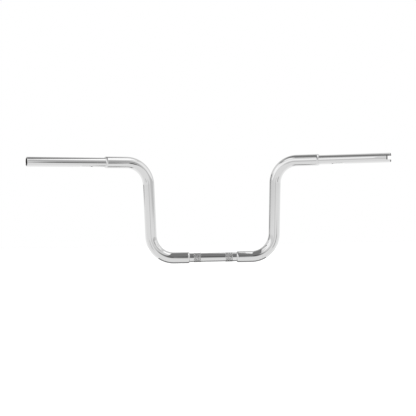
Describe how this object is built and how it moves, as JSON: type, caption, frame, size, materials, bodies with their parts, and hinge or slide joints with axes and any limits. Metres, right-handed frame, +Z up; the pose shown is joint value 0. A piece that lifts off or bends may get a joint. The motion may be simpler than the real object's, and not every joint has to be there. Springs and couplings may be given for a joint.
{
  "type": "motorcycle handlebar",
  "caption": "Chromed ape hanger handlebar bent from stepped tube, with knurled riser bands, slots for the switch wiring and a notched throttle end.",
  "frame": {"origin": "on the axis of the clamp section, midway between the two risers", "axes": "+X to the rider's right along the clamp section, +Y forward, +Z up along the uprights"},
  "size_m": [0.9571, 0.1683, 0.2988],
  "materials": {
    "chrome": "polished chrome plate"
  },
  "bodies": {
    "root": {"handlebar": "chrome"}
  },
  "joints": []
}
